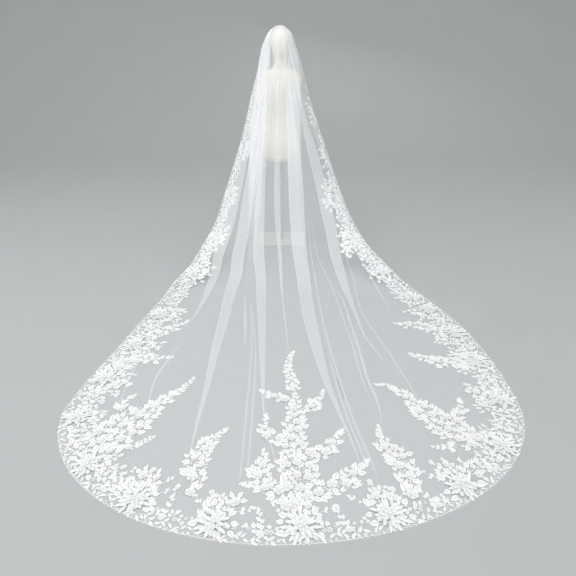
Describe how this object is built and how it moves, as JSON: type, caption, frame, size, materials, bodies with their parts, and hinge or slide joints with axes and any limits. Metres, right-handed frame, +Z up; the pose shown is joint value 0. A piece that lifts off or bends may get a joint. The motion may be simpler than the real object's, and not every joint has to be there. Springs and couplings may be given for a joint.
{
  "type": "bridal veil on a dress form",
  "caption": "Cathedral-length veil of soft net with floral lace border and sprays, draped from a comb over a limbless display form with a plain head, its train spread on the floor.",
  "frame": {"origin": "centre of the underside of the stand's base plate, on the floor", "axes": "+Z up, +Y the way the form faces, the train runs to -Y, +X the form's right side"},
  "size_m": [2.4127, 3.1299, 1.708],
  "materials": {
    "jersey": "matte ivory stretch jersey over a padded shell",
    "white_paint": "satin white powder coat",
    "stand_paint": "satin pale grey powder coat",
    "comb_plastic": "milky clear moulded plastic",
    "tulle": "fine soft white net, one layer see-through",
    "lace": "white embroidered floral lace with corded edges"
  },
  "bodies": {
    "root": {"form_body": "jersey", "form_rim": "white_paint", "stand_pole": "stand_paint", "stand_collar": "stand_paint", "stand_base": "stand_paint", "comb": "comb_plastic", "veil_tulle": "tulle", "lace_side_left": "lace", "lace_side_right": "lace", "lace_border": "lace", "spray_centre_stem": "lace", "spray_centre_low_left": "lace", "spray_centre_low_right": "lace", "spray_centre_mid_left": "lace", "spray_centre_mid_right": "lace", "spray_centre_high_left": "lace", "spray_centre_high_right": "lace", "spray_left_diagonal": "lace", "spray_left_centre": "lace", "spray_left_side_low": "lace", "spray_left_side_high": "lace", "spray_right_diagonal": "lace", "spray_right_centre": "lace", "spray_right_side_low": "lace", "spray_right_side_high": "lace"}
  },
  "joints": []
}
